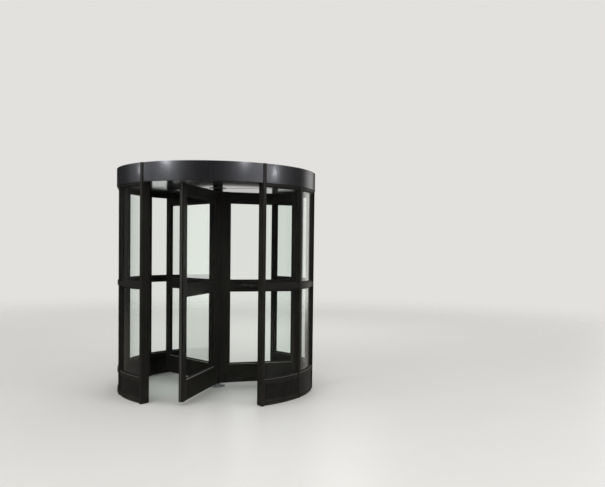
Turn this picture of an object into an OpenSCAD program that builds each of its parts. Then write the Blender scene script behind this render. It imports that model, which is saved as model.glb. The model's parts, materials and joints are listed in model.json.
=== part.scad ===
// Manual three-wing revolving door in a round glazed drum.
// Angles run from the front of the drum (-Y) towards +X. Sizes are in millimetres.

/* [Drum] */
// Outer radius of the drum, over the end posts
drum_r = 1050; // [950:10:1200]
// Clear height under the fascia
clear_h = 2100; // [2000:10:2400]
// Height of the fascia
fascia_h = 180; // [120:10:300]
// How far the ceiling lies above the fascia's lower edge
ceiling_rise = 24; // [0:2:40]
// Half of the angle that each opening takes
open_half = 33; // [30:1:36]
// Number of glazed bays in each wall
bays = 4; // [3:1:5]
// Depth of the end posts along the radius
end_post_d = 96; // [80:2:120]
// Width of all posts across the radius
post_w = 30; // [20:1:40]
// How far the end posts stand out in front of the fascia
end_post_proud = 12; // [6:1:20]
// Depth of the posts between the bays
mullion_d = 84; // [70:2:90]

/* [Fascia] */
// Thickness of the curved fascia sheets
fascia_t = 8; // [4:1:12]
// How far the wall's posts lie behind the fascia's face
wall_set = 4; // [2:1:10]
// Thickness of the ceiling disc
ceiling_t = 12; // [8:1:20]
// Thickness of the cover on top of the canopy
cover_t = 8; // [5:1:15]
// How far the cover lies below the fascia's upper edge
cover_set = 10; // [0:1:30]

/* [Wall rails] */
// Depth of the wall's rails along the radius
rail_d = 56; // [40:1:70]
// How far the rails lie behind the face of the wall's posts
rail_set = 6; // [2:1:12]
// Height of the base rail on the floor
base_rail_h = 40; // [30:1:60]
// Top of the kick panel's sill above the floor
sill_top = 246; // [200:2:350]
// Height of the sill rail
sill_h = 38; // [30:1:50]
// Underside of the wall's middle rail
wall_mid_z = 1098; // [950:2:1200]
// Height of the wall's middle rail
wall_mid_h = 48; // [36:1:70]
// Height of the wall's top rail
top_rail_h = 46; // [36:1:70]
// Thickness of the kick panels
kick_t = 10; // [6:1:16]
// How far the kick panels lie behind the face of the rails
kick_set = 8; // [4:1:16]
// Thickness of the glass
glass_t = 10; // [8:1:14]
// How far the glass and the kick panels enter their rails
glass_in = 12; // [6:1:15]
// Width of the beads that hold each pane
bead_w = 10; // [6:1:14]
// How far the beads stand out from the glass
bead_t = 8; // [4:1:10]

/* [Rotor] */
// Angle at which the first wing stands
wing_angle = -12; // [-25:1:25]
// Clearance between the wing's seal and the wall's inner face
tip_gap = 10; // [6:1:20]
// Width of the seal along the wing's outer edge
seal_w = 20; // [12:1:30]
// Thickness of the seal
seal_t = 14; // [8:1:20]
// Gap between a wing and the floor
floor_gap = 34; // [20:1:50]
// Gap between a wing and the ceiling
ceiling_gap = 36; // [20:1:50]
// Thickness of the wing's frame
wing_t = 45; // [36:1:55]
// Width of the outer stile
outer_stile_w = 80; // [60:1:110]
// Distance from the shaft's axis to the glass side of the inner stile
inner_stile_end = 126; // [90:1:140]
// Height of the wing's top rail
wing_top_h = 108; // [80:1:140]
// Underside of the wing's middle rail
wing_mid_z = 1032; // [900:2:1120]
// Height of the wing's middle rail
wing_mid_h = 100; // [70:1:120]
// Height of the wing's bottom rail
wing_bottom_h = 196; // [120:2:260]
// Chamfer along the edges of stiles and rails
edge = 3; // [1:0.5:5]

/* [Shaft and bearings] */
// Radius of the centre shaft
shaft_r = 38; // [30:1:45]
// Radius of the shaft's journals
journal_r = 25; // [16:1:28]
// Radial running clearance of the journals
journal_gap = 0.05; // [0.02:0.01:0.1]
// Radius of the floor bearing's plate
floor_plate_r = 90; // [70:1:120]
// Thickness of the floor bearing's plate
floor_plate_t = 8; // [5:1:12]
// Height of the floor bearing's boss
boss_h = 26; // [20:1:28]
// Height of the bearing housing above the ceiling
housing_h = 50; // [30:1:90]
// Radius of the bearing housing
housing_r = 95; // [70:1:140]

/* [Push bars] */
// Diameter of the push bar
bar_d = 28; // [20:1:36]
// Distance of the bar's axis from the wing's face
bar_off = 52; // [45:1:75]
// Inner end of the bar, from the shaft's axis
bar_in = 210; // [180:5:300]
// Outer end of the bar, from the shaft's axis
bar_out = 740; // [600:5:760]
// Distance of each bracket from the bar's end
bracket_in = 60; // [40:5:100]
// Diameter of the bracket's foot
foot_d = 46; // [40:1:60]
// Thickness of the bracket's foot
foot_t = 6; // [4:1:10]
// Diameter of the bracket's stem
stem_d = 22; // [16:1:26]

/* [Hidden] */

// Fineness of round shapes
$fn = 96;
ring_fn = 240;
// Small seating gap between round faces of one body
seat = 0.3;
// Overlap that keeps a cutter clear of the face it cuts through
over = 1;

overall_h = clear_h + fascia_h;
ceiling_z = clear_h + ceiling_rise;
// Angle of each end post's middle plane
end_a = open_half + asin(post_w / 2 / drum_r);
// Angle between neighbouring posts of one wall
bay_a = (180 - 2 * end_a) / bays;
fascia_r = drum_r - end_post_proud;
fascia_in = fascia_r - fascia_t;
mullion_r = fascia_r - wall_set;
wall_in = min(drum_r - end_post_d, mullion_r - mullion_d);
rail_r = mullion_r - rail_set;
rail_in = rail_r - rail_d;
kick_r = rail_r - kick_set;
glass_mid_r = (rail_r + rail_in) / 2;
glass_out_r = glass_mid_r + glass_t / 2;
bead_half = glass_t / 2 + bead_t;
sill_z = sill_top - sill_h;
wall_mid_top = wall_mid_z + wall_mid_h;
top_rail_z = ceiling_z - top_rail_h;
cover_z = overall_h - cover_set - cover_t;
housing_z = ceiling_z + ceiling_t;

// Angle between neighbouring wings, of which there are three
wing_step = 360 / 3;
wing_r = wall_in - tip_gap;
stile_out = wing_r - seal_w;
stile_in = stile_out - outer_stile_w;
wing_z = floor_gap;
wing_top = ceiling_z - ceiling_gap;
wing_top_z = wing_top - wing_top_h;
bottom_top = wing_z + wing_bottom_h;
mid_top = wing_mid_z + wing_mid_h;
bar_z = wing_mid_z + wing_mid_h / 2;
// Heights between which the panes show, in the walls and in the wings
wall_spans = [[sill_top, wall_mid_z], [wall_mid_top, top_rail_z]];
wing_spans = [[bottom_top, wing_mid_z], [mid_top, wing_top_z]];

// Distances that keep turning faces apart
thrust_gap = 6;
pin_gap = 0.3;
// Wall of the collar above the wings, and its gap to the ceiling
collar_w = 14;
collar_gap = 6;
// Radial play of the shaft in the ceiling
ceiling_play = 8;
// Floor of the bearing cup
cup_floor = 3.7;
// Walls around the journals in the floor's boss and in the housing above
boss_wall = 17;
housing_wall = 34;

// Turns a child that lies along +X to the angle a
module at_angle(a) {
  rotate([0, 0, a - 90]) children();
}

// Outline of the space between two post planes that stand half_a to each side of +X
module wedge(half_a) {
  tip = post_w / 2 / sin(half_a);
  far = 2 * drum_r;
  polygon([
    [tip, 0],
    [tip + far * cos(half_a), -far * sin(half_a)],
    [tip + far, 0],
    [tip + far * cos(half_a), far * sin(half_a)]
  ]);
}

module ring_outline(r_in, r_out) {
  difference() {
    circle(r_out, $fn = ring_fn);
    circle(r_in, $fn = ring_fn);
  }
}

// Curved bar between two post planes, in place along +X
module ring_piece(half_a, r_in, r_out, z, h) {
  translate([0, 0, z]) linear_extrude(h) intersection() {
    ring_outline(r_in, r_out);
    wedge(half_a);
  }
}

// The same bar in each bay of one wall, with side -1 on the left and 1 on the right
module wall_ring(side, r_in, r_out, z, h) {
  for (i = [0 : bays - 1]) {
    at_angle(side * (end_a + (i + 0.5) * bay_a)) ring_piece(bay_a / 2, r_in, r_out, z, h);
  }
}

// Room that a curved sheet of one wall takes in the rails and beads, between two heights
module wall_groove(side, r_out, t, z_low, z_high) {
  at_angle(side * 90) translate([0, 0, z_low]) linear_extrude(z_high - z_low) intersection() {
    ring_outline(r_out - t, r_out);
    wedge(90 - end_a);
  }
}

// Curved beads along the rails, from z upwards, sunk a little into the rail they stand on
module rail_beads(side, z, h) {
  wall_ring(side, glass_mid_r - bead_half, glass_mid_r + bead_half, z, h);
}

module kick_groove(side) {
  wall_groove(side, kick_r, kick_t, base_rail_h - glass_in, sill_z + glass_in);
}

module pane_grooves(side) {
  for (span = wall_spans) {
    wall_groove(side, glass_out_r, glass_t, span[0] - glass_in, span[1] + glass_in);
  }
}

module post(a, r_in, r_out, h) {
  at_angle(a) linear_extrude(h) post_outline(r_in, r_out);
}

// Upright beads on one flank of a post at the angle a, which hold the panes beside it
module post_beads(a, flank) {
  at_angle(a) for (span = wall_spans) {
    translate([0, 0, span[0] + bead_w]) linear_extrude(span[1] - span[0] - 2 * bead_w) difference() {
      translate([glass_mid_r - bead_half, flank > 0 ? post_w / 2 - over : -post_w / 2 - bead_w])
        square([2 * bead_half, bead_w + over]);
      ring_outline(glass_out_r - glass_t, glass_out_r);
    }
  }
}

// Post section along +X with chamfered outer corners
module post_outline(r_in, r_out) {
  polygon([
    [r_in, -post_w / 2], [r_out - edge, -post_w / 2], [r_out, -post_w / 2 + edge],
    [r_out, post_w / 2 - edge], [r_out - edge, post_w / 2], [r_in, post_w / 2]
  ]);
}

// Post beside an opening, with beads on the flank towards the wall
module end_post(a, flank) {
  color("#1c1b1a") {
    post(a, drum_r - end_post_d, drum_r, overall_h);
    post_beads(a, flank);
  }
}

// Posts between the bays, set back behind the fascia where they rise to the ceiling
module mullions(side) {
  color("#1c1b1a") for (i = [1 : bays - 1]) {
    a = side * (end_a + i * bay_a);
    post(a, mullion_r - mullion_d, mullion_r, clear_h);
    post(a, mullion_r - mullion_d, rail_r, ceiling_z);
    post_beads(a, -1);
    post_beads(a, 1);
  }
}

module base_rails(side) {
  color("#1c1b1a") difference() {
    wall_ring(side, rail_in, rail_r, 0, base_rail_h);
    kick_groove(side);
  }
}

module kick_panels(side) {
  z = base_rail_h - glass_in;
  color("#232220") wall_ring(side, kick_r - kick_t, kick_r, z, sill_z + glass_in - z);
}

module sill_rails(side) {
  color("#1c1b1a") difference() {
    union() {
      wall_ring(side, rail_in, rail_r, sill_z, sill_h);
      rail_beads(side, sill_top - over, bead_w + over);
    }
    kick_groove(side);
    pane_grooves(side);
  }
}

module midrails(side) {
  color("#1c1b1a") difference() {
    union() {
      wall_ring(side, rail_in, rail_r, wall_mid_z, wall_mid_h);
      rail_beads(side, wall_mid_z - bead_w, wall_mid_h + 2 * bead_w);
    }
    pane_grooves(side);
  }
}

module top_rails(side) {
  color("#1c1b1a") difference() {
    union() {
      wall_ring(side, rail_in, rail_r, top_rail_z, top_rail_h);
      rail_beads(side, top_rail_z - bead_w, bead_w + over);
    }
    pane_grooves(side);
  }
}

// Sheets of curved glass of one wall, which enter the rails around the heights of a span
module wall_glass(side, span) {
  z = span[0] - glass_in;
  h = span[1] + glass_in - z;
  color([0.75, 0.85, 0.82, 0.35])
    wall_ring(side, glass_out_r - glass_t, glass_out_r, z, h);
}

module fascia(mid_a, half_a) {
  color("#33333a") at_angle(mid_a) ring_piece(half_a, fascia_in, fascia_r, clear_h, fascia_h);
}

// Disc that fills the fascia and leaves room for the four end posts
module disc_outline() {
  difference() {
    circle(fascia_in, $fn = ring_fn);
    for (a = [-end_a, end_a, 180 - end_a, 180 + end_a]) {
      at_angle(a) translate([drum_r - end_post_d, -post_w / 2]) square([end_post_d, post_w]);
    }
  }
}

module ceiling() {
  color("#4a4a4c") translate([0, 0, ceiling_z]) linear_extrude(ceiling_t) difference() {
    disc_outline();
    circle(shaft_r + ceiling_play);
  }
}

module top_cover() {
  color("#3a3a3c") translate([0, 0, cover_z]) linear_extrude(cover_t) disc_outline();
}

module top_bearing() {
  flange_t = ceiling_t;
  color("#55565a") translate([0, 0, housing_z]) difference() {
    union() {
      cylinder(r = housing_r, h = flange_t);
      cylinder(r = journal_r + housing_wall, h = housing_h);
    }
    translate([0, 0, -over]) cylinder(r = journal_r + journal_gap, h = housing_h + 2 * over);
  }
}

module floor_bearing() {
  color("#6b6c70") difference() {
    union() {
      cylinder(r = floor_plate_r, h = floor_plate_t);
      cylinder(r = journal_r + boss_wall, h = boss_h);
    }
    translate([0, 0, cup_floor]) cylinder(r = journal_r + journal_gap, h = boss_h);
  }
}

module centre_shaft() {
  body_z = boss_h + thrust_gap;
  body_top = housing_z - thrust_gap;
  color("#1c1b1a") union() {
    translate([0, 0, body_z]) cylinder(r = shaft_r, h = body_top - body_z);
    translate([0, 0, cup_floor + pin_gap])
      cylinder(r = journal_r, h = housing_z + housing_h - cup_floor - pin_gap);
  }
}

module shaft_collar() {
  h = ceiling_z - collar_gap - wing_top;
  color("#1c1b1a") translate([0, 0, wing_top]) difference() {
    cylinder(r = shaft_r + collar_w, h = h);
    translate([0, 0, -over]) cylinder(r = shaft_r + seat, h = h + 2 * over);
  }
}

// Section of a frame member along +X with chamfered corners on the sides that are free
module member_outline(x0, x1) {
  half = wing_t / 2;
  polygon([
    [x0, -half + edge], [x0 + edge, -half], [x1 - edge, -half], [x1, -half + edge],
    [x1, half - edge], [x1 - edge, half], [x0 + edge, half], [x0, half - edge]
  ]);
}

module wing_stiles() {
  color("#1c1b1a") difference() {
    union() {
      translate([0, 0, wing_z]) linear_extrude(wing_top - wing_z) {
        member_outline(0, inner_stile_end);
        member_outline(stile_in, stile_out);
      }
      for (span = wing_spans, x = [inner_stile_end - over, stile_in - bead_w]) {
        translate([x, -bead_half, span[0] + bead_w])
          cube([bead_w + over, 2 * bead_half, span[1] - span[0] - 2 * bead_w]);
      }
    }
    translate([0, 0, -over]) cylinder(r = shaft_r + seat, h = overall_h);
    wing_sheet(inner_stile_end - glass_in, stile_in + glass_in, bottom_top, wing_top_z);
  }
}

// One rail of a wing between the stiles, from z to z + h, with its long edges chamfered
module wing_rail(z, h) {
  half = wing_t / 2;
  translate([inner_stile_end, 0, 0]) rotate([90, 0, 90]) linear_extrude(stile_in - inner_stile_end)
    polygon([
      [-half + edge, z], [half - edge, z], [half, z + edge], [half, z + h - edge],
      [half - edge, z + h], [-half + edge, z + h], [-half, z + h - edge], [-half, z + edge]
    ]);
}

// Flat sheet as thick as a pane, which enters the rails below z_low and above z_high
module wing_sheet(x0, x1, z_low, z_high) {
  translate([x0, -glass_t / 2, z_low - glass_in])
    cube([x1 - x0, glass_t, z_high - z_low + 2 * glass_in]);
}

module wing_rails() {
  length = stile_in - inner_stile_end;
  color("#1c1b1a") difference() {
    union() {
      wing_rail(wing_z, wing_bottom_h);
      wing_rail(wing_mid_z, wing_mid_h);
      wing_rail(wing_top_z, wing_top_h);
      for (span = wing_spans, z = [span[0] - over, span[1] - bead_w]) {
        translate([inner_stile_end, -bead_half, z]) cube([length, 2 * bead_half, bead_w + over]);
      }
    }
    for (span = wing_spans) wing_sheet(inner_stile_end - over, stile_in + over, span[0], span[1]);
  }
}

module wing_glass() {
  color([0.75, 0.85, 0.82, 0.35]) for (span = wing_spans) {
    wing_sheet(inner_stile_end - glass_in, stile_in + glass_in, span[0], span[1]);
  }
}

module wing_seal() {
  color("#101010") translate([stile_out, -seal_t / 2, wing_z])
    cube([seal_w, seal_t, wing_top - wing_z]);
}

// Push bar with two brackets that stand on the middle rail, on the side that is pushed
module wing_push_bar() {
  face = -wing_t / 2;
  color("#3c3d40") {
    translate([bar_in, face - bar_off, bar_z]) rotate([0, 90, 0])
      cylinder(d = bar_d, h = bar_out - bar_in);
    for (x = [bar_in + bracket_in, bar_out - bracket_in]) {
      translate([x, face, bar_z]) rotate([90, 0, 0]) {
        cylinder(d = foot_d, h = foot_t);
        cylinder(d = stem_d, h = bar_off);
      }
    }
  }
}

module wing(i) {
  at_angle(wing_angle + i * wing_step) children();
}

end_post(-end_a, -1);  // left_front_post
end_post(180 + end_a, 1);  // left_rear_post
end_post(end_a, 1);  // right_front_post
end_post(180 - end_a, -1);  // right_rear_post
mullions(-1);  // left_mullions
mullions(1);  // right_mullions
base_rails(-1);  // left_base_rails
base_rails(1);  // right_base_rails
kick_panels(-1);  // left_kick_panels
kick_panels(1);  // right_kick_panels
sill_rails(-1);  // left_sill_rails
sill_rails(1);  // right_sill_rails
midrails(-1);  // left_midrails
midrails(1);  // right_midrails
top_rails(-1);  // left_top_rails
top_rails(1);  // right_top_rails
wall_glass(-1, wall_spans[0]);  // left_lower_glass
wall_glass(1, wall_spans[0]);  // right_lower_glass
wall_glass(-1, wall_spans[1]);  // left_upper_glass
wall_glass(1, wall_spans[1]);  // right_upper_glass
fascia(0, end_a);  // front_fascia
fascia(180, end_a);  // rear_fascia
fascia(-90, 90 - end_a);  // left_fascia
fascia(90, 90 - end_a);  // right_fascia
ceiling();
top_cover();
top_bearing();
floor_bearing();
centre_shaft();
shaft_collar();
wing(0) wing_stiles();  // wing_1_stiles
wing(0) wing_rails();  // wing_1_rails
wing(0) wing_glass();  // wing_1_glass
wing(0) wing_push_bar();  // wing_1_push_bar
wing(0) wing_seal();  // wing_1_seal
wing(1) wing_stiles();  // wing_2_stiles
wing(1) wing_rails();  // wing_2_rails
wing(1) wing_glass();  // wing_2_glass
wing(1) wing_push_bar();  // wing_2_push_bar
wing(1) wing_seal();  // wing_2_seal
wing(2) wing_stiles();  // wing_3_stiles
wing(2) wing_rails();  // wing_3_rails
wing(2) wing_glass();  // wing_3_glass
wing(2) wing_push_bar();  // wing_3_push_bar
wing(2) wing_seal();  // wing_3_seal
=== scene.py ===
import json
import math
import random

import bmesh
import bpy
from mathutils import Matrix, Vector


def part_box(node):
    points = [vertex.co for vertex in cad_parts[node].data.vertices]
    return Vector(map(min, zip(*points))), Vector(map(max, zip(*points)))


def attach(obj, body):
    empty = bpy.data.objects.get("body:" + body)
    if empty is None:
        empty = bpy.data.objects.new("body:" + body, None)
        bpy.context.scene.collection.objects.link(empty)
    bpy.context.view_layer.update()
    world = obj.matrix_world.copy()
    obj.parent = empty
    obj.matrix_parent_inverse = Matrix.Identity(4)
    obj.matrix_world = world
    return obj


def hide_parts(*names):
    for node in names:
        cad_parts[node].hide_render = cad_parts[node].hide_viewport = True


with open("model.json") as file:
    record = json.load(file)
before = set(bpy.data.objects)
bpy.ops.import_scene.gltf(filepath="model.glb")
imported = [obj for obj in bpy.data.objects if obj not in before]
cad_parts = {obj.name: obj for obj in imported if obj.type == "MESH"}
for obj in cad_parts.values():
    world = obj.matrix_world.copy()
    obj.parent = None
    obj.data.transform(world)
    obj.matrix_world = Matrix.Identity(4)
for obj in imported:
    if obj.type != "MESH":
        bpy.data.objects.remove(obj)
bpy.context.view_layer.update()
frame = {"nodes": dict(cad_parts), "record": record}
nodes = frame["nodes"]

SIDES = ("left", "right")
WINGS = ("wing_1", "wing_2", "wing_3")
BAYS = 4
UP, DOWN = (0, 0, 1), (0, 0, -1)

# Places in the frame


def direction(angle, radius=1.0, z=0.0):
    return Vector((radius * math.sin(angle), -radius * math.cos(angle), z))


def bearing(node):
    """Angle at which a node stands round the drum's axis."""
    low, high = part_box(node)
    middle = (low + high) / 2
    return math.atan2(middle.x, -middle.y)


def turned(angle):
    """Matrix that lays a piece built along +X at an angle round the axis."""
    return Matrix.Rotation(angle - math.pi / 2, 4, "Z")


def box_along(node, angle):
    """Lowest and highest corner of a node in axes turned with that angle, +X outwards."""
    back = turned(angle).inverted()
    points = [back @ v.co for v in nodes[node].data.vertices]
    return Vector(map(min, zip(*points))), Vector(map(max, zip(*points)))


def radii(node):
    lengths = [math.hypot(v.co.x, v.co.y) for v in nodes[node].data.vertices]
    return min(lengths), max(lengths)


def open_heights(node, least=0.3):
    """Stretches of height, from low to high, in which the node has no point."""
    levels = sorted({round(v.co.z, 5) for v in nodes[node].data.vertices})
    return [(a, b) for a, b in zip(levels, levels[1:]) if b - a > least]


END_ANGLE = bearing("right_front_post")
BAY_ANGLE = (math.pi - 2 * END_ANGLE) / BAYS
post_low, post_high = box_along("right_front_post", END_ANGLE)
POST_WIDTH = post_high.y - post_low.y
GLASS_IN, GLASS_OUT = radii("left_lower_glass")
# Heights between which the walls' panes show inside their beads
WALL_PANES = ((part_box("left_sill_rails")[1].z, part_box("left_midrails")[0].z),
              (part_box("left_midrails")[1].z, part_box("left_top_rails")[0].z))
FASCIA_IN, FASCIA_OUT = radii("front_fascia")
FASCIA_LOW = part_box("front_fascia")[0].z
CEILING_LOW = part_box("ceiling")[0].z
COVER_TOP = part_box("top_cover")[1].z
WING_ANGLES = {wing: bearing(wing + "_seal") for wing in WINGS}
# Width of the beads round each pane
BEAD = 0.010

# Mesh building

# Steps of an arc over one bay, over an opening or a wall, and all round
BAY_STEPS, LONG_STEPS, ROUND_STEPS = 16, 48, 96
# Steps of a quarter circle in the profiles of the ceiling's trim and of the bars' domed caps
TRIM_STEPS, DOME_STEPS = 5, 8
LATHE_SIDES = 32


class Shape:
    """Points and faces of one piece while it is made."""

    def __init__(self):
        self.points = []
        self.faces = []

    def add(self, points, faces):
        start = len(self.points)
        self.points += [Vector(p) for p in points]
        self.faces += [[start + i for i in face] for face in faces]


def even_steps(start, end, count):
    """Values from start to end in that many equal steps, with both ends."""
    return [start + (end - start) * k / count for k in range(count + 1)]


def circle(radius, height, sides):
    """Points round the local Z axis."""
    turns = [2 * math.pi * k / sides for k in range(sides)]
    return [Vector((radius * math.cos(t), radius * math.sin(t), height)) for t in turns]


def skin(shape, loops, closed=False):
    """Joins loops of points, each a closed ring, and caps both ends unless the skin is closed."""
    size = len(loops[0])
    points = [p for loop in loops for p in loop]
    last = len(loops) if closed else len(loops) - 1
    faces = []
    for i in range(last):
        a, b = i * size, (i + 1) % len(loops) * size
        for k in range(size):
            n = (k + 1) % size
            faces.append([a + k, a + n, b + n, b + k])
    if not closed:
        faces.append(list(range(size)))
        faces.append([(len(loops) - 1) * size + k for k in range(size)])
    shape.add(points, faces)


def lathe(shape, profile, place):
    """Turns a profile of (radius, height) round the local Z axis of a placing matrix."""
    skin(shape, [[place @ p for p in circle(radius, height, LATHE_SIDES)]
                 for radius, height in profile])


def arc_bar(shape, profile, angles, closed=False):
    """Sweeps a closed profile of (radius, height) round the drum's axis, through those angles."""
    skin(shape, [[direction(angle, radius, height) for radius, height in profile]
                 for angle in angles], closed)


def block(shape, low, high, chamfer, place=Matrix()):
    """Box between two corners with chamfered edges all round."""
    low, high = Vector(low), Vector(high)

    def outline(inset, z):
        x0, y0, x1, y1 = low.x + inset, low.y + inset, high.x - inset, high.y - inset
        c = chamfer
        return [place @ Vector(p) for p in (
            (x0 + c, y0, z), (x1 - c, y0, z), (x1, y0 + c, z), (x1, y1 - c, z),
            (x1 - c, y1, z), (x0 + c, y1, z), (x0, y1 - c, z), (x0, y0 + c, z))]

    skin(shape, [outline(chamfer, low.z), outline(0, low.z + chamfer),
                 outline(0, high.z - chamfer), outline(chamfer, high.z)])


def window_frame(shape, span, profile, put, steps=1):
    """Frame round a pane.

    span is (u0, w0, u1, w1), the profile is (inset, rise) and put maps (u, w, rise) to a point.
    """
    u0, w0, u1, w1 = span
    loops = []
    for inset, rise in profile:
        a0, b0, a1, b1 = u0 + inset, w0 + inset, u1 - inset, w1 - inset
        low = [(a0 + (a1 - a0) * k / steps, b0) for k in range(steps)]
        top = [(a1 - (a1 - a0) * k / steps, b1) for k in range(steps)]
        loops.append([put(u, w, rise) for u, w in low + [(a1, b0)] + top + [(a0, b1)]])
    skin(shape, loops, closed=True)


# Button-head screw in shares of its radius: outline of the head, height of its top, and the
# socket's reach and depth
SCREW_HEAD = ((1.0, 0.0), (1.0, 0.12), (0.9, 0.32), (0.68, 0.48))
SCREW_TOP, SOCKET_REACH, SOCKET_DEPTH = 0.5, 0.5, 0.3
SCREW_SIDES = 24
SCREW_DIAGONALS = [math.radians(45 + 90 * k) for k in range(4)]


def screw(shape, at, outwards, radius):
    """Button-head screw with a hexagon socket, seated on a face that looks outwards."""
    facing = Vector(outwards).to_track_quat("Z", "Y").to_matrix().to_4x4()
    place = Matrix.Translation(at) @ facing
    loops = [[place @ p for p in circle(r * radius, h * radius, SCREW_SIDES)]
             for r, h in SCREW_HEAD]
    flat = SOCKET_REACH * radius * math.cos(math.pi / 6)
    for h in (SCREW_TOP, SCREW_TOP - SOCKET_DEPTH):
        hexagon = []
        for k in range(SCREW_SIDES):
            t = 2 * math.pi * k / SCREW_SIDES
            r = flat / math.cos(t % (math.pi / 3) - math.pi / 6)
            hexagon.append(place @ Vector((r * math.cos(t), r * math.sin(t), h * radius)))
        loops.append(hexagon)
    skin(shape, loops)


SMOOTH_ANGLE = math.radians(35)


def piece(name, shape, material, body):
    """Makes a scene object of a shape, with its material, and lets it ride on a body."""
    mesh = bpy.data.meshes.new(name)
    mesh.from_pydata([tuple(p) for p in shape.points], [], shape.faces)
    work = bmesh.new()
    work.from_mesh(mesh)
    bmesh.ops.recalc_face_normals(work, faces=work.faces)
    work.to_mesh(mesh)
    work.free()
    mesh.polygons.foreach_set("use_smooth", [True] * len(mesh.polygons))
    mesh.set_sharp_from_angle(angle=SMOOTH_ANGLE)
    mesh.materials.append(material)
    obj = bpy.data.objects.new(name, mesh)
    bpy.context.scene.collection.objects.link(obj)
    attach(obj, body)
    return obj


# Material building


def new_material(name):
    material = bpy.data.materials.new(name)
    material.use_nodes = True
    tree = material.node_tree
    return material, tree, tree.nodes["Principled BSDF"]


def add_node(tree, kind, settings=None, inputs=None):
    """Adds a node. An input is another node's socket or a plain value."""
    node = tree.nodes.new(kind)
    for key, value in (settings or {}).items():
        setattr(node, key, value)
    for key, value in (inputs or {}).items():
        if isinstance(value, bpy.types.NodeSocket):
            tree.links.new(value, node.inputs[key])
        else:
            node.inputs[key].default_value = value
    return node


def object_place(tree):
    return add_node(tree, "ShaderNodeTexCoord").outputs["Object"]


def split_axes(tree, vector):
    outputs = add_node(tree, "ShaderNodeSeparateXYZ", inputs={"Vector": vector}).outputs
    return outputs["X"], outputs["Y"], outputs["Z"]


def stretched(tree, vector, scale):
    inputs = {"Vector": vector, "Scale": scale}
    return add_node(tree, "ShaderNodeMapping", inputs=inputs).outputs[0]


# Range that holds most values of a noise
MIDDLE_RANGE = (0.3, 0.7)


def noise(tree, vector, scale, detail=3.0, roughness=0.5):
    inputs = {"Vector": vector, "Scale": scale, "Detail": detail, "Roughness": roughness}
    return add_node(tree, "ShaderNodeTexNoise", inputs=inputs).outputs["Fac"]


def ranged(tree, value, low, high, to_low=0.0, to_high=1.0, kind="LINEAR"):
    """Maps low..high to to_low..to_high, and holds the value beyond both ends."""
    inputs = {"Value": value, "From Min": low, "From Max": high,
              "To Min": to_low, "To Max": to_high}
    return add_node(tree, "ShaderNodeMapRange", {"interpolation_type": kind}, inputs).outputs[0]


def maths(tree, operation, a, b=0.0):
    return add_node(tree, "ShaderNodeMath", {"operation": operation}, {0: a, 1: b}).outputs[0]


def times(tree, first, *others):
    """Product of several values."""
    product = first
    for other in others:
        product = maths(tree, "MULTIPLY", product, other)
    return product


def blended(tree, share, a, b):
    """Colour mix: a where share is 0 and b where it is 1."""
    inputs = {0: share, 6: a, 7: b}
    return add_node(tree, "ShaderNodeMix", {"data_type": "RGBA"}, inputs).outputs[2]


def mixed_shader(tree, share, a, b):
    """Shader mix: a where share is 0 and b where it is 1."""
    return add_node(tree, "ShaderNodeMixShader", inputs={0: share, 1: a, 2: b}).outputs[0]


def rgba(color):
    return (*color, 1.0)


def bevelled(tree, radius):
    """Normal that is rounded over edges by a radius."""
    return add_node(tree, "ShaderNodeBevel", {"samples": 4}, {"Radius": radius}).outputs[0]


def bumped(tree, shader, heights, rounding=0.0):
    """Chains bumps of (height, distance) onto the shader, over edges rounded by a radius."""
    normal = bevelled(tree, rounding) if rounding else None
    for height, distance in heights:
        inputs = {"Height": height, "Distance": distance, "Strength": 1.0}
        if normal is not None:
            inputs["Normal"] = normal
        normal = add_node(tree, "ShaderNodeBump", inputs=inputs).outputs[0]
    tree.links.new(normal, shader.inputs["Normal"])


# Cosine between the rounded and the flat normal where wear begins, and where it is full
WEAR_BEGINS, WEAR_FULL = 0.99, 0.86
# Dust in patches: noise scale, detail and roughness, and the noise values of no dust and full dust
DUST_NOISE, DUST_PATCHES = (14.0, 5.0, 0.62), (0.38, 0.72)


def edge_mask(tree, radius):
    """1 along worn outer edges and 0 on flat faces."""
    flat = add_node(tree, "ShaderNodeNewGeometry").outputs["True Normal"]
    along = add_node(tree, "ShaderNodeVectorMath", {"operation": "DOT_PRODUCT"},
                     {0: bevelled(tree, radius), 1: flat})
    return ranged(tree, along.outputs["Value"], WEAR_BEGINS, WEAR_FULL)


def dust_mask(tree, place, height):
    """Share of dust that thins out from the floor up to a height, in patches."""
    fall = ranged(tree, split_axes(tree, place)[2], height, 0.0)
    patches = ranged(tree, noise(tree, place, *DUST_NOISE), *DUST_PATCHES)
    return times(tree, fall, fall, patches)


# Noise scales of the coats: cloudy tone, fine grain, rubbed patches and upright streaks
CLOUD_SCALE, GRAIN_SCALE, RUB_SCALE = 3.2, 520.0, 30.0
STREAK_SCALE = (38.0, 38.0, 1.6)
# Noise values between which the tone turns from dark to light, and rubbed patches set in
CLOUD_RANGE, RUB_RANGE = (0.35, 0.68), (0.48, 0.66)
# How much streaks smooth and roughen the coat, and how deep clouds and grain go
STREAK_SMOOTHS, STREAK_ROUGHENS = 0.05, 0.07
CLOUD_BUMP, GRAIN_BUMP = 0.0008, 0.00004
# Dust on the coats near the floor: how high it reaches, its share, tone and dullness
DUST_HEIGHT, DUST_SHARE, DUST_TONE, DUST_DULLNESS = 0.5, 0.12, (0.12, 0.11, 0.095), 0.9
# Worn edges of the coats: their width and share, and the radius that rounds every edge
WEAR_WIDTH, WEAR_SHARE, EDGE_ROUNDING = 0.0022, 0.55, 0.0012


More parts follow.
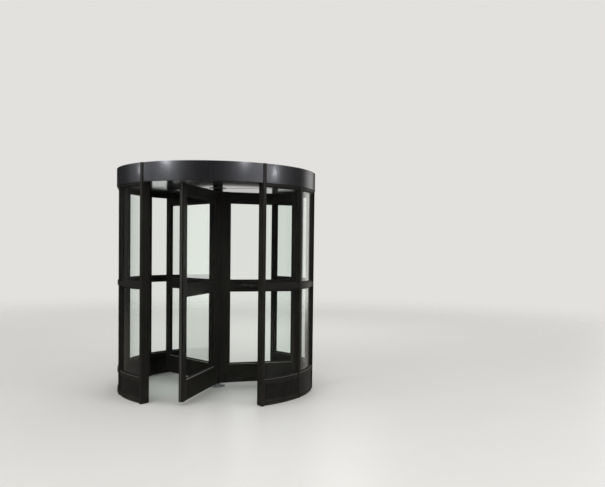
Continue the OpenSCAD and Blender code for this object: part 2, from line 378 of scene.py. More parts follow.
def coated_metal(name, base, lit, rough, metallic=0.0, specular=0.4,
                 wear=(0.10, 0.097, 0.094), streak=1.0):
    """Powder-coated metal with fine grain, cloudy tone, wiped streaks, worn edges and dust."""
    material, tree, shader = new_material(name)
    place = object_place(tree)
    clouds = noise(tree, place, CLOUD_SCALE, 4.0)
    grain = noise(tree, place, GRAIN_SCALE, 2.0)
    streaks = noise(tree, stretched(tree, place, STREAK_SCALE), 1.0, 4.0, 0.6)
    tone = blended(tree, ranged(tree, clouds, *CLOUD_RANGE), rgba(base), rgba(lit))
    dusty = times(tree, dust_mask(tree, place, DUST_HEIGHT), DUST_SHARE)
    tone = blended(tree, dusty, tone, rgba(DUST_TONE))
    rubbed = ranged(tree, noise(tree, place, RUB_SCALE, 4.0), *RUB_RANGE)
    worn = times(tree, edge_mask(tree, WEAR_WIDTH), rubbed, WEAR_SHARE)
    tone = blended(tree, worn, tone, rgba(wear))
    tree.links.new(tone, shader.inputs["Base Color"])
    smooth, dull = rough - STREAK_SMOOTHS * streak, rough + STREAK_ROUGHENS * streak
    sheen = ranged(tree, streaks, *MIDDLE_RANGE, smooth, dull)
    sheen = maths(tree, "ADD", sheen, times(tree, dusty, DUST_DULLNESS))
    tree.links.new(sheen, shader.inputs["Roughness"])
    shader.inputs["Metallic"].default_value = metallic
    shader.inputs["Specular IOR Level"].default_value = specular
    bumped(tree, shader, [(clouds, CLOUD_BUMP), (grain, GRAIN_BUMP)], EDGE_ROUNDING)
    return material


# Clear glass: its own tint, the tint of its shadow, and the share of light that it mirrors
GLASS_TINT, GLASS_SHADOW, GLASS_MIRROR = (0.945, 0.98, 0.96), (0.86, 0.92, 0.89), (0.2, 0.2, 0.2)
# Heights over which finger marks set in from below, and over which they set in from above
HANDS_LOW, HANDS_HIGH = (0.75, 1.0), (1.75, 1.35)
# Wiping haze and finger marks: noise scale, noise range and the most roughness that they add
WIPE_SCALE, WIPE_RANGE, MOST_HAZE = (9.0, 9.0, 2.2), (0.5, 0.8), 0.035
MARK_SCALE, MARK_RANGE, MOST_MARKS = 16.0, (0.58, 0.76), 0.07
# Faint waves of the panes, drawn out upwards, and their depth
WAVE_STRETCH, WAVE_SCALE, WAVE_BUMP = (1.0, 1.0, 0.35), 2.4, 0.0006


def clear_glass():
    """Clear float glass with a faint tint, wiping haze and finger marks, lit through by lamps."""
    material, tree, shader = new_material("clear_glass")
    place = object_place(tree)
    shader.inputs["Base Color"].default_value = rgba(GLASS_TINT)
    shader.inputs["Transmission Weight"].default_value = 1.0
    shader.inputs["IOR"].default_value = 1.5
    shader.inputs["Specular Tint"].default_value = rgba(GLASS_MIRROR)
    wipes = noise(tree, stretched(tree, place, WIPE_SCALE), 1.0, 5.0, 0.65)
    haze = ranged(tree, wipes, *WIPE_RANGE, 0.0, MOST_HAZE)
    z = split_axes(tree, place)[2]
    marks = ranged(tree, noise(tree, place, MARK_SCALE, 5.0, 0.7), *MARK_RANGE, 0.0, MOST_MARKS)
    fingers = times(tree, ranged(tree, z, *HANDS_LOW), ranged(tree, z, *HANDS_HIGH), marks)
    tree.links.new(maths(tree, "ADD", haze, fingers), shader.inputs["Roughness"])
    waves = noise(tree, stretched(tree, place, WAVE_STRETCH), WAVE_SCALE, 1.0)
    bumped(tree, shader, [(waves, WAVE_BUMP)])
    path = add_node(tree, "ShaderNodeLightPath")
    shade = add_node(tree, "ShaderNodeBsdfTransparent", inputs={"Color": rgba(GLASS_SHADOW)})
    mixed = mixed_shader(tree, path.outputs["Is Shadow Ray"], shader.outputs[0], shade.outputs[0])
    tree.links.new(mixed, tree.nodes["Material Output"].inputs["Surface"])
    return material


def rubber(name, base, lit):
    """Matt black rubber with a bloom of grey and a fine skin."""
    material, tree, shader = new_material(name)
    bloom_scale, bloom_range, skin_scale, skin_bump = 22.0, (0.4, 0.75), 900.0, 0.00015
    smooth, dull = 0.55, 0.8
    place = object_place(tree)
    bloom = noise(tree, place, bloom_scale, 5.0, 0.6)
    tone = blended(tree, ranged(tree, bloom, *bloom_range), rgba(base), rgba(lit))
    tree.links.new(tone, shader.inputs["Base Color"])
    sheen = ranged(tree, bloom, *MIDDLE_RANGE, smooth, dull)
    tree.links.new(sheen, shader.inputs["Roughness"])
    shader.inputs["Specular IOR Level"].default_value = 0.3
    bumped(tree, shader, [(noise(tree, place, skin_scale, 2.0), skin_bump)])
    return material


def brushed_steel(name, base, lit, rough, stretch):
    """Steel with fine brush lines along one direction and a few dull patches."""
    material, tree, shader = new_material(name)
    patch_scale, patch_range, patch_dullness = 11.0, (0.35, 0.7), 0.14
    line_bump, rounding = 0.00006, 0.0008
    place = object_place(tree)
    lines = noise(tree, stretched(tree, place, stretch), 1.0, 5.0, 0.7)
    tone = blended(tree, ranged(tree, lines, *MIDDLE_RANGE), rgba(base), rgba(lit))
    tree.links.new(tone, shader.inputs["Base Color"])
    patches = noise(tree, place, patch_scale, 4.0)
    dull = ranged(tree, patches, *patch_range, rough, rough + patch_dullness)
    tree.links.new(dull, shader.inputs["Roughness"])
    shader.inputs["Metallic"].default_value = 1.0
    bumped(tree, shader, [(lines, line_bump)], rounding)
    return material


def pile(name, base, tips):
    """Dark brush pile with paler tips."""
    material, tree, shader = new_material(name)
    hair_scale, smooth, dull = (60.0, 60.0, 900.0), 0.7, 0.95
    hairs = noise(tree, stretched(tree, object_place(tree), hair_scale), 1.0, 2.0)
    tree.links.new(blended(tree, hairs, rgba(base), rgba(tips)), shader.inputs["Base Color"])
    sheen = ranged(tree, hairs, *MIDDLE_RANGE, smooth, dull)
    tree.links.new(sheen, shader.inputs["Roughness"])
    shader.inputs["Sheen Weight"].default_value = 0.3
    return material


# Each coat has its dark and its light tone, and then its roughness
black_metal = coated_metal(
    "black_metal", (0.0132, 0.0125, 0.0109), (0.0178, 0.0169, 0.0149), 0.36, specular=0.08)
fascia_metal = coated_metal(
    "charcoal_metal", (0.074, 0.075, 0.082), (0.094, 0.095, 0.103), 0.26,
    metallic=0.9, wear=(0.2, 0.2, 0.2), streak=0.25)
cover_metal = coated_metal(
    "cover_metal", (0.040, 0.040, 0.043), (0.060, 0.059, 0.062), 0.50)
ceiling_metal = coated_metal(
    "ceiling_metal", (0.036, 0.035, 0.038), (0.050, 0.048, 0.052), 0.14,
    specular=1.0, wear=(0.5, 0.5, 0.5), streak=0.3)
# Kick panels' black, darker than the frames' black, which paints shade low down near the floor
kick_shaded_metal = coated_metal(
    "kick_panel", (0.0068, 0.0066, 0.0062), (0.0105, 0.0102, 0.0096), 0.30, specular=0.09)
# Pale coat of the sill rails' strips, a painted highlight along the ledges
sill_highlight_metal = coated_metal(
    "sill_highlight_metal", (0.085, 0.082, 0.078), (0.130, 0.126, 0.120), 0.30,
    specular=0.6, wear=(0.22, 0.21, 0.20))
# Grey channel coat, lighter than the black frames partly to paint the sheen along the wings' outer
# edges
channel_sheen_metal = coated_metal(
    "channel_sheen_metal", (0.042, 0.040, 0.036), (0.062, 0.059, 0.054), 0.30, specular=0.5)
# Pale coat of the wings' rail strips, a painted highlight along the bottom rails
wing_highlight_metal = coated_metal(
    "wing_highlight_metal", (0.26, 0.245, 0.225), (0.38, 0.36, 0.335), 0.28,
    specular=0.5, wear=(0.5, 0.5, 0.49))
bar_metal = coated_metal(
    "push_bar_metal", (0.010, 0.010, 0.0098), (0.017, 0.017, 0.0165), 0.26,
    specular=0.25, wear=(0.12, 0.12, 0.12))
glass = clear_glass()
gasket_rubber = rubber("seal_rubber", (0.006, 0.006, 0.006), (0.020, 0.020, 0.019))
bearing_steel = brushed_steel(
    "bearing_steel", (0.36, 0.36, 0.37), (0.55, 0.55, 0.56), 0.28, (260.0, 260.0, 12.0))
cap_steel = brushed_steel(
    "cap_steel", (0.50, 0.50, 0.50), (0.72, 0.72, 0.71), 0.16, (300.0, 300.0, 20.0))
brush_pile = pile("brush_pile", (0.006, 0.006, 0.006), (0.05, 0.048, 0.045))

MATERIAL_OF_SLOT = {
    "black_metal": black_metal,
    "charcoal_metal": fascia_metal,
    "ceiling_metal": ceiling_metal,
    "kick_panel": kick_shaded_metal,
    "clear_glass": glass,
    "seal_rubber": gasket_rubber,
    "push_bar_metal": bar_metal,
    "bearing_steel": bearing_steel,
}


def dress_nodes():
    """Gives each CAD node the finish of its material slot."""
    for part in frame["record"]["subparts"]:
        material = MATERIAL_OF_SLOT[part["material_slot"]]
        mesh = nodes[part["node"]].data
        mesh.materials.clear()
        mesh.materials.append(material)
    nodes["top_cover"].data.materials[0] = cover_metal


# Pieces of the drum

GASKET_WIDTH, GASKET_RISE = 0.006, 0.004
# Rounded lip of a glazing gasket, from the bead inwards and up from the glass
GASKET = ((0.0, 0.0), (0.0, 0.8 * GASKET_RISE), (0.25 * GASKET_WIDTH, GASKET_RISE),
          (0.7 * GASKET_WIDTH, 0.7 * GASKET_RISE), (GASKET_WIDTH, 0.1 * GASKET_RISE),
          (GASKET_WIDTH, 0.0))
KICK_TRIM_WIDTH, KICK_TRIM_RISE = 0.012, 0.004
# Slim frame of a kick panel with a sloping inner edge
KICK_TRIM = ((0.0, 0.0), (0.0, KICK_TRIM_RISE), (0.7 * KICK_TRIM_WIDTH, KICK_TRIM_RISE),
             (KICK_TRIM_WIDTH, 0.4 * KICK_TRIM_RISE), (KICK_TRIM_WIDTH, 0.0))


def bay_angles(side):
    """Middle angle of each bay of one wall."""
    sign = -1 if side == "left" else 1
    return [sign * (END_ANGLE + (i + 0.5) * BAY_ANGLE) for i in range(BAYS)]


def curved_frame(shape, middle, radius, sign, edge, heights, profile):
    """Frame on one face of a bay's curved pane or panel, an edge's width away from the posts.

    sign is 1 on the outer face and -1 on the inner one.
    """
    half = radius * (BAY_ANGLE / 2 - math.asin((POST_WIDTH / 2 + edge) / radius))
    low, high = heights

    def put(u, w, rise):
        return direction(middle + u / radius, radius + sign * rise, w)

    window_frame(shape, (-half, low, half, high), profile, put, BAY_STEPS)


def wall_gaskets(side):
    """Rubber lips round both faces of each curved pane of one wall."""
    shape = Shape()
    for middle in bay_angles(side):
        for heights in WALL_PANES:
            for radius, sign in ((GLASS_OUT, 1), (GLASS_IN, -1)):
                curved_frame(shape, middle, radius, sign, BEAD, heights, GASKET)
    piece(side + "_wall_gaskets", shape, gasket_rubber, "drum")


def kick_trims(side):
    """Slim frames that hold the recessed kick panels, on their outer and inner faces."""
    panel_in, panel_out = radii(side + "_kick_panels")
    heights = (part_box(side + "_base_rails")[1].z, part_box(side + "_sill_rails")[0].z)
    shape = Shape()
    for middle in bay_angles(side):
        for radius, sign in ((panel_out, 1), (panel_in, -1)):
            curved_frame(shape, middle, radius, sign, 0.0, heights, KICK_TRIM)
    piece(side + "_kick_trims", shape, black_metal, "drum")


def sill_highlight_ledges(side):
    """Slim pale strips on both ledges of the sill rails, below the panes' beads, that paint the
    highlight along the ledges.
    """
    rail_in, rail_out = radii(side + "_sill_rails")
    depth, rise, corner, play = 0.010, 0.0016, 0.0005, 0.001
    low = WALL_PANES[0][0] - BEAD
    high = low + rise
    shape = Shape()
    for middle in bay_angles(side):
        half = BAY_ANGLE / 2 - math.asin((POST_WIDTH / 2 + play) / rail_in)
        for r0, r1 in ((rail_out - depth, rail_out), (rail_in, rail_in + depth)):
            profile = [(r0, low), (r0, high - corner), (r0 + corner, high),
                       (r1 - corner, high), (r1, high - corner), (r1, low)]
            arc_bar(shape, profile, even_steps(middle - half, middle + half, BAY_STEPS))
    piece(side + "_sill_highlight_ledges", shape, sill_highlight_metal, "drum")


def fascia_lips():
    """Rolled lip under the lower edge of each fascia sheet."""
    drop, inset, corner = 0.003, 0.0006, 0.002
    play_angle = 0.0006
    gap = math.asin(POST_WIDTH / 2 / FASCIA_OUT) + play_angle
    spans = {"front": (-END_ANGLE, END_ANGLE),
             "right": (END_ANGLE, math.pi - END_ANGLE),
             "rear": (math.pi - END_ANGLE, math.pi + END_ANGLE),
             "left": (-math.pi + END_ANGLE, -END_ANGLE)}
    outer = FASCIA_OUT - inset
    low, half_way = FASCIA_LOW - drop, FASCIA_LOW - 0.5 * drop
    profile = [(FASCIA_IN, FASCIA_LOW), (FASCIA_IN, half_way), (FASCIA_IN + corner, low),
               (outer - corner, low), (outer, half_way), (outer, FASCIA_LOW)]
    for name, (start, end) in spans.items():
        shape = Shape()
        arc_bar(shape, profile, even_steps(start + gap, end - gap, LONG_STEPS))
        piece(name + "_fascia_lip", shape, black_metal, "drum")


def ceiling_trim():
    """Quarter-round trim where the ceiling meets the fascia, over the two openings."""
    size, play_angle = 0.010, 0.001
    gap = math.asin(POST_WIDTH / 2 / FASCIA_IN) + play_angle
    profile = [(FASCIA_IN, CEILING_LOW)]
    profile += [(FASCIA_IN - size * math.cos(t), CEILING_LOW - size * math.sin(t))
                for t in even_steps(0.0, math.pi / 2, TRIM_STEPS)]
    shape = Shape()
    for middle in (0.0, math.pi):
        start, end = middle - END_ANGLE + gap, middle + END_ANGLE - gap
        arc_bar(shape, profile, even_steps(start, end, LONG_STEPS))
    piece("ceiling_trim", shape, black_metal, "drum")


def ceiling_ring():
    """Cover ring round the shaft with its four screws."""
    inner, outer, drop = 0.060, 0.098, 0.004
    inner_corner, outer_corner, screw_radius = 0.002, 0.004, 0.0045
    low = CEILING_LOW - drop
    profile = [(inner, CEILING_LOW), (inner, CEILING_LOW - 0.7 * drop),
               (inner + inner_corner, low), (outer - outer_corner, low),
               (outer, CEILING_LOW - 0.3 * drop), (outer, CEILING_LOW)]
    shape = Shape()
    arc_bar(shape, profile, even_steps(0.0, 2 * math.pi, ROUND_STEPS)[:-1], closed=True)
    for angle in SCREW_DIAGONALS:
        screw(shape, direction(angle, (inner + outer) / 2, low), DOWN, screw_radius)
    piece("ceiling_ring", shape, bearing_steel, "drum")


def ceiling_joints():
    """Slim cover strips over the joints of the ceiling's sheets."""
    half, rise, inner, outer, chamfer = 0.009, 0.0016, 0.105, 0.94, 0.0007
    low, high = (inner, -half, CEILING_LOW - rise), (outer, half, CEILING_LOW)
    shape = Shape()
    for angle in (0.0, math.pi / 2, math.pi, -math.pi / 2):
        block(shape, low, high, chamfer, turned(angle))
    piece("ceiling_joint_strips", shape, ceiling_metal, "drum")


def cover_details():
    """Folded seams and rim screws of the sheet cover on top."""
    half, rise, chamfer, offset, reach = 0.011, 0.006, 0.002, 0.34, FASCIA_IN - 0.02
    end = math.sqrt(reach * reach - offset * offset)
    shape = Shape()
    for y in (-offset, offset):
        block(shape, (-end, y - half, COVER_TOP), (end, y + half, COVER_TOP + rise), chamfer)
    piece("cover_seams", shape, cover_metal, "drum")

    screws, first_angle, rim, screw_radius = 24, 7.5, 0.12, 0.006
    shape = Shape()
    for k in range(screws):
        angle = math.radians(first_angle + 360 / screws * k)
        screw(shape, direction(angle, FASCIA_IN - rim, COVER_TOP), UP, screw_radius)
    piece("cover_screws", shape, bearing_steel, "drum")


def floor_details():
    """Bolts of the floor bearing's plate."""
    plate_top, bolt_circle, bolt_radius = 0.008, 0.068, 0.007
    shape = Shape()
    for angle in SCREW_DIAGONALS:
        screw(shape, direction(angle, bolt_circle, plate_top), UP, bolt_radius)
    piece("floor_bearing_screws", shape, cap_steel, "drum")


# Pieces of the wings


def wing_gaskets(wing):
    """Rubber lips round both faces of a wing's two panes."""
    angle = WING_ANGLES[wing]
    rail_low, rail_high = box_along(wing + "_rails", angle)
    glass_low, glass_high = box_along(wing + "_glass", angle)
    place = turned(angle)
    shape = Shape()
    for low, high in open_heights(wing + "_rails"):
        for face, sign in ((glass_high.y, 1), (glass_low.y, -1)):

            def put(u, w, rise, face=face, sign=sign):
                return place @ Vector((u, face + sign * rise, w))

            window_frame(shape, (rail_low.x + BEAD, low, rail_high.x - BEAD, high), GASKET, put)
    piece(wing + "_gaskets", shape, gasket_rubber, "rotor")


def wing_highlight_ledges(wing):
    """Pale strips along both upper edges of a wing's bottom rail that paint a highlight line
    there.
    """
    angle = WING_ANGLES[wing]
    rail_low, rail_high = box_along(wing + "_rails", angle)
    depth, rise, play, chamfer = 0.007, 0.0035, 0.001, 0.0005
    low = open_heights(wing + "_rails")[0][0] - BEAD
    shape = Shape()
    for y0, y1 in ((rail_low.y, rail_low.y + depth), (rail_high.y - depth, rail_high.y)):
        start, end = (rail_low.x + play, y0, low), (rail_high.x - play, y1, low + rise)
        block(shape, start, end, chamfer, turned(angle))
    piece(wing + "_ledges", shape, wing_highlight_metal, "rotor")


def wing_brush(wing, seed):
    """Brush strip of a wing's outer edge: a channel along the stile and rows of stiff pile."""
    low, high = box_along(wing + "_seal", WING_ANGLES[wing])
    place = turned(WING_ANGLES[wing])
    depth, lip, wall = 0.008, 0.0012, 0.003
    edge, back = low.x + depth, low.x + depth - lip
    section = [(low.x, low.y), (edge, low.y), (edge, low.y + wall), (back, low.y + wall),
               (back, high.y - wall), (edge, high.y - wall), (edge, high.y), (low.x, high.y)]
    shape = Shape()
    skin(shape, [[place @ Vector((x, y, z)) for x, y in section] for z in (low.z, high.z)])
    # The channel's lighter grey partly paints the sheen along the wing's edge
    carrier = piece(wing + "_brush_channel", shape, channel_sheen_metal, "rotor")
    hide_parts(wing + "_seal")

    pitch, thick, half, taper = 0.0024, 0.0017, 0.0032, 0.8
    root, tip = low.x + 0.004, high.x
    most_lean_y, most_lean_z, most_short = 0.0016, 0.0012, 0.0016

    def tuft_end(x, y, z, share):
        """Rectangle across a tuft."""
        y0, y1, z1 = y - share * half, y + share * half, z + share * thick
        return [place @ Vector(p) for p in ((x, y0, z), (x, y1, z), (x, y1, z1), (x, y0, z1))]

    draw = random.Random(seed)
    shape = Shape()
    z = low.z + pitch
    while z < high.z - pitch:
        lean_y = draw.uniform(-most_lean_y, most_lean_y)
        lean_z = draw.uniform(-most_lean_z, most_lean_z)
        end = tip - draw.uniform(0.0, most_short)
        skin(shape, [tuft_end(root, 0.0, z, 1.0), tuft_end(end, lean_y, z + lean_z, taper)])
        z += pitch
    piece(wing + "_brush_pile", shape, brush_pile, "rotor")


BAR_RADIUS = 0.014


def bar_caps(wing):
    """Domed caps over both ends of a wing's push bar."""
    low, high = box_along(wing + "_push_bar", WING_ANGLES[wing])
    place = turned(WING_ANGLES[wing])
    rim, cuff, length, corner, dome = BAR_RADIUS + 0.0008, BAR_RADIUS + 0.0006, 0.016, 0.001, 0.007
    profile = [(cuff, -length), (rim, corner - length), (rim, 0.0)]
    profile += [(rim * math.cos(t), dome * math.sin(t))
                for t in even_steps(0.0, math.pi / 2, DOME_STEPS)[1:-1]]
    shape = Shape()
    for x, sign in ((low.x, -1), (high.x, 1)):
        end = Matrix.Translation((x, low.y + BAR_RADIUS, (low.z + high.z) / 2))
        lathe(shape, profile, place @ end @ Matrix.Rotation(sign * math.pi / 2, 4, "Y"))
    piece(wing + "_bar_caps", shape, bar_metal, "rotor")


def bar_fittings(wing):
    """Collars and screws of the push bar's two feet."""
    low, high = box_along(wing + "_push_bar", WING_ANGLES[wing])
    face = box_along(wing + "_rails", WING_ANGLES[wing])[0].y
    place = turned(WING_ANGLES[wing])
    outwards = place.to_3x3() @ Vector((0, -1, 0))
    middle_z = (low.z + high.z) / 2
    foot_in, foot_rise, screw_circle, screw_radius = 0.060, 0.006, 0.0165, 0.0032
    collar_rise = 0.013
    collar = [(0.0114, -0.008), (0.0135, -0.0068), (0.0135, 0.0), (0.0114, 0.0016)]
    shape = Shape()
    for x in (low.x + foot_in, high.x - foot_in):
        for k in range(3):
            t = math.radians(90 + 120 * k)
            at = Vector((x + screw_circle * math.cos(t), face - foot_rise,
                         middle_z + screw_circle * math.sin(t)))
            screw(shape, place @ at, outwards, screw_radius)
        foot = Matrix.Translation((x, face - collar_rise, middle_z))
        lathe(shape, collar, place @ foot @ Matrix.Rotation(math.pi / 2, 4, "X"))
    piece(wing + "_bar_fittings", shape, bar_metal, "rotor")


def stile_caps(wing):
    """Moulded plugs that close the ends of a wing's hollow stiles."""
    angle = WING_ANGLES[wing]
    rail_low, rail_high = box_along(wing + "_rails", angle)
    stile_low, stile_high = box_along(wing + "_stiles", angle)
    inset, thick, chamfer = 0.003, 0.002, 0.0008
    # The inner stile starts beside the shaft below, and beside the wider collar above
    beside_shaft, beside_collar = 0.045, 0.056
    shape = Shape()
    for z0, z1, inner in ((stile_low.z - thick, stile_low.z, beside_shaft),
                          (stile_high.z, stile_high.z + thick, beside_collar)):
        for x0, x1 in ((inner, rail_low.x), (rail_high.x, stile_high.x)):
            low = (x0 + inset, stile_low.y + inset, z0)
            high = (x1 - inset, stile_high.y - inset, z1)
            block(shape, low, high, chamfer, turned(angle))
    piece(wing + "_stile_caps", shape, gasket_rubber, "rotor")


def collar_screws():
    """Set screws round the collar above the wings, half-way between them."""
    low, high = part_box("shaft_collar")
    sunk, screw_radius = 0.0006, 0.004
    radius, z = (high.x - low.x) / 2 - sunk, (low.z + high.z) / 2
    shape = Shape()
    for wing in WINGS:
        angle = WING_ANGLES[wing] + math.pi / 3
        screw(shape, direction(angle, radius, z), direction(angle), screw_radius)
    piece("collar_screws", shape, cap_steel, "rotor")


# Floor, light and camera

# Backdrop that the camera sees, and the light that falls on the door
PALE, DAYLIGHT = (0.765, 0.750, 0.731), (0.95, 0.95, 0.94)
FLOOR_REACH = 60.0
FLOOR_CLOUD_SCALE = 1.3
FLOOR_TONES = ((0.70, 0.685, 0.665), (0.74, 0.725, 0.705))
FAR_FLOOR, MIRRORED_FLOOR = (0.80, 0.785, 0.765), (0.14, 0.128, 0.112)
# Distances over which the floor turns to its far tone, and over which it fades out
FLOOR_TURNS, FLOOR_FADES = (1.5, 7.0), (3.5, 14.0)


def studio_floor():
    """Large pale floor that fades into the backdrop. Metal and glass mirror a darker one."""
    mesh = bpy.data.meshes.new("floor")
    r = FLOOR_REACH
    mesh.from_pydata([(-r, -r, 0), (r, -r, 0), (r, r, 0), (-r, r, 0)], [], [(0, 1, 2, 3)])
    floor = bpy.data.objects.new("floor", mesh)
    bpy.context.scene.collection.objects.link(floor)
    material, tree, shader = new_material("floor")
    place = object_place(tree)
    length = add_node(tree, "ShaderNodeVectorMath", {"operation": "LENGTH"}, {0: place})
    away = length.outputs["Value"]
    tone = blended(tree, noise(tree, place, FLOOR_CLOUD_SCALE, 5.0), *map(rgba, FLOOR_TONES))
    tone = blended(tree, ranged(tree, away, *FLOOR_TURNS), tone, rgba(FAR_FLOOR))
    glossy_depth = add_node(tree, "ShaderNodeLightPath").outputs["Glossy Depth"]
    in_mirror = maths(tree, "GREATER_THAN", glossy_depth, 0.5)
    tone = blended(tree, in_mirror, tone, rgba(MIRRORED_FLOOR))
    tree.links.new(tone, shader.inputs["Base Color"])
    shader.inputs["Roughness"].default_value = 0.35
    shader.inputs["Specular IOR Level"].default_value = 0.3
    fade = ranged(tree, away, *FLOOR_FADES, kind="SMOOTHSTEP")
    clear = add_node(tree, "ShaderNodeBsdfTransparent")
    mixed = mixed_shader(tree, fade, shader.outputs[0], clear.outputs[0])
    tree.links.new(mixed, tree.nodes["Material Output"].inputs["Surface"])
    mesh.materials.append(material)


# The room that metal and glass mirror, in components of a direction's unit vector.
# Brightness of its upper part, by heading in degrees from the front towards +X
ROOM_LEVELS = (
    (-180, 0.0), (-112, 0.01), (-98, 0.42), (-62, 0.62), (-44, 0.54), (-32, 0.08), (-20, 0.0),
    (8, 0.0), (24, 0.20), (38, 0.62), (66, 0.72), (78, 0.80), (90, 0.20), (112, 0.02), (180, 0.0))
ROOM_STRENGTH = 2.0
# Z at which the upper part begins, and the tone below it
UPPER_ROOM, LOWER_TONE = (0.085, 0.110), (0.03, 0.03, 0.03)
# Light street behind the door, low down, which the ceiling mirrors. X is taken from its middle
REAR_Y, REAR_Z, REAR_MIDDLE, REAR_HALF = (0.4, 0.9), (0.0, -0.06), -0.15, (0.28, 0.18)
REAR_TONE = (0.475, 0.47, 0.46)
# Light street behind the door to the right, which the face of the near wing mirrors
STREET_Y, STREET_LEFT, STREET_RIGHT = (0.4, 0.6), (0.38, 0.48), (0.80, 0.70)
STREET_TONE = (0.70, 0.69, 0.66)


def mirrored_room(tree):
    """Colour of the room in each direction."""
    x, y, z = split_axes(tree, add_node(tree, "ShaderNodeTexCoord").outputs["Generated"])
    heading = maths(tree, "ARCTAN2", x, maths(tree, "MULTIPLY", y, -1.0))
    turn = ranged(tree, heading, -math.pi, math.pi)
    ramp = add_node(tree, "ShaderNodeValToRGB", inputs={"Fac": turn})
    while len(ramp.color_ramp.elements) < len(ROOM_LEVELS):
        ramp.color_ramp.elements.new(0.5)
    for element, (degrees, level) in zip(ramp.color_ramp.elements, ROOM_LEVELS):
        element.position = (degrees + 180) / 360
        element.color = rgba((level, level, level))
    above = ranged(tree, z, *UPPER_ROOM)
    room = blended(tree, above, rgba(LOWER_TONE), ramp.outputs["Color"])
    aside = maths(tree, "ABSOLUTE", maths(tree, "ADD", x, -REAR_MIDDLE))
    rear = times(tree, ranged(tree, y, *REAR_Y), ranged(tree, z, *REAR_Z),
                 ranged(tree, aside, *REAR_HALF))
    room = blended(tree, rear, room, rgba(REAR_TONE))
    street = times(tree, ranged(tree, x, *STREET_LEFT), ranged(tree, x, *STREET_RIGHT),
                   ranged(tree, y, *STREET_Y))
    return blended(tree, street, room, rgba(STREET_TONE))


def studio_world():
    """Even light on the door, a pale backdrop for the camera and a room for metal to mirror.

    A ray that a pane mirrored inside itself leaves it as a transmission ray of some glossy
    depth. It sees the room too, so that the pane lays no pale haze over what is behind it.
    """
    world = bpy.data.worlds.new("studio")
    bpy.context.scene.world = world
    world.use_nodes = True
    tree = world.node_tree
    daylight = tree.nodes["Background"]
    daylight.inputs["Color"].default_value = rgba(DAYLIGHT)
    mirrored = add_node(tree, "ShaderNodeBackground",
                        inputs={"Color": mirrored_room(tree), "Strength": ROOM_STRENGTH})
    seen = add_node(tree, "ShaderNodeBackground", inputs={"Color": rgba(PALE)})
    path = add_node(tree, "ShaderNodeLightPath").outputs
    through = path["Is Transmission Ray"]
    from_mirror = maths(tree, "MAXIMUM", path["Is Glossy Ray"], through)
    straight = maths(tree, "MAXIMUM", path["Is Camera Ray"], through)
    unmirrored = maths(tree, "LESS_THAN", path["Glossy Depth"], 0.5)
    around = mixed_shader(tree, from_mirror, daylight.outputs[0], mirrored.outputs[0])
    both = mixed_shader(tree, times(tree, straight, unmirrored), around, seen.outputs[0])
    tree.links.new(both, tree.nodes["World Output"].inputs["Surface"])


def area_lamp(name, place, target, size, power, shape="SQUARE"):
    data = bpy.data.lights.new(name, "AREA")
    data.shape = shape
    data.size = size
    data.energy = power
    lamp = bpy.data.objects.new(name, data)
    lamp.location = place
    lamp.rotation_euler = (Vector(target) - Vector(place)).to_track_quat("-Z", "Y").to_euler()
    lamp.visible_camera = False
    bpy.context.scene.collection.objects.link(lamp)


# Camera fitted to the photo: place, heading, tilt and roll, and lens and shift in photo pixels
CAMERA_AT = Vector((1.1000, -6.8010, 1.4859))
CAMERA_YAW, CAMERA_PITCH, CAMERA_ROLL = (math.radians(v) for v in (-1.56, -1.82, 0.70))
IMAGE_WIDTH, FOCAL_PIXELS, SHIFT_PIXELS = 605, 636.13, 25.79
SENSOR_WIDTH, FARTHEST_SEEN = 36.0, 200.0


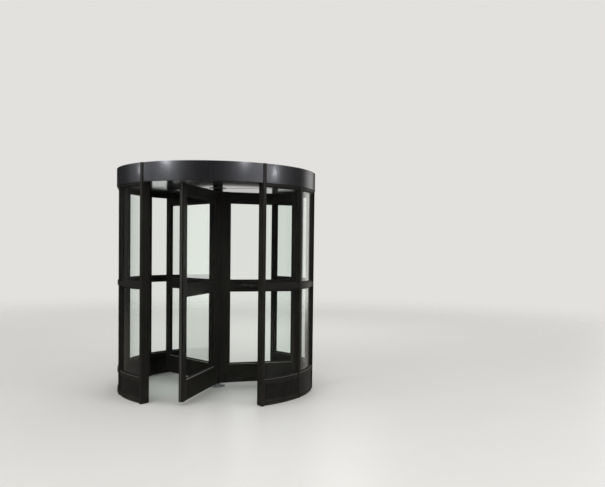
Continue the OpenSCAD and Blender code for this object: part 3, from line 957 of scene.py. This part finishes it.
def photo_camera():
    data = bpy.data.cameras.new("camera")
    data.sensor_width = SENSOR_WIDTH
    data.lens = FOCAL_PIXELS / IMAGE_WIDTH * data.sensor_width
    data.shift_y = SHIFT_PIXELS / IMAGE_WIDTH
    data.clip_end = FARTHEST_SEEN
    camera = bpy.data.objects.new("camera", data)
    level = math.cos(CAMERA_PITCH)
    ahead = Vector((math.sin(CAMERA_YAW) * level, math.cos(CAMERA_YAW) * level,
                    math.sin(CAMERA_PITCH)))
    right = Vector((math.cos(CAMERA_YAW), -math.sin(CAMERA_YAW), 0.0))
    up = right.cross(ahead)
    tilted_right = math.cos(CAMERA_ROLL) * right + math.sin(CAMERA_ROLL) * up
    tilted_up = -math.sin(CAMERA_ROLL) * right + math.cos(CAMERA_ROLL) * up
    turn = Matrix((tilted_right, tilted_up, -ahead)).transposed()
    camera.matrix_world = Matrix.Translation(CAMERA_AT) @ turn.to_4x4()
    bpy.context.scene.collection.objects.link(camera)
    bpy.context.scene.camera = camera


# Soft lamps, which look at the middle of the door: place, size and power
SOFT_LAMPS = {
    "key": ((-3.4, -4.4, 5.2), 3.0, 95),
    "fill": ((4.6, -2.6, 4.4), 3.0, 48),
    "back": ((0.5, 5.5, 4.6), 3.5, 95),
}
SOFT_TARGET = (0, 0, 1.0)
# Small lamps near the fascia: angle and height at which the camera sees their highlight, how far
# the lamp is lifted from the mirrored line of sight, and power
GLINT_LAMPS = {
    "glint_left": (-18.3, 2.275, 0.10, 3.4),
    "glint_right": (23.0, 2.275, 0.10, 1.7),
    "glint_side": (39.8, 2.205, 0.0, 0.21),
    "glint_edge": (-34.8, 2.21, 0.0, 0.18),
}
GLINT_DISTANCE, GLINT_SIZE = 0.55, 0.05


def studio_lamps():
    for name, (place, size, power) in SOFT_LAMPS.items():
        area_lamp(name, place, SOFT_TARGET, size, power)
    for name, (degrees, height, lift, power) in GLINT_LAMPS.items():
        outwards = direction(math.radians(degrees))
        spot = direction(math.radians(degrees), FASCIA_OUT, height)
        ray = (spot - CAMERA_AT).normalized()
        mirrored = ray - 2 * ray.dot(outwards) * outwards
        place = spot + mirrored * GLINT_DISTANCE + Vector((0, 0, lift))
        area_lamp(name, place, spot, GLINT_SIZE, power, "DISK")


bpy.context.scene.view_settings.view_transform = "Standard"
photo_camera()
dress_nodes()
for side in SIDES:
    wall_gaskets(side)
    kick_trims(side)
    sill_highlight_ledges(side)
fascia_lips()
ceiling_trim()
ceiling_ring()
ceiling_joints()
cover_details()
floor_details()
for number, wing in enumerate(WINGS):
    wing_gaskets(wing)
    wing_highlight_ledges(wing)
    wing_brush(wing, number + 1)
    bar_caps(wing)
    bar_fittings(wing)
    stile_caps(wing)
collar_screws()
studio_floor()
studio_world()
studio_lamps()
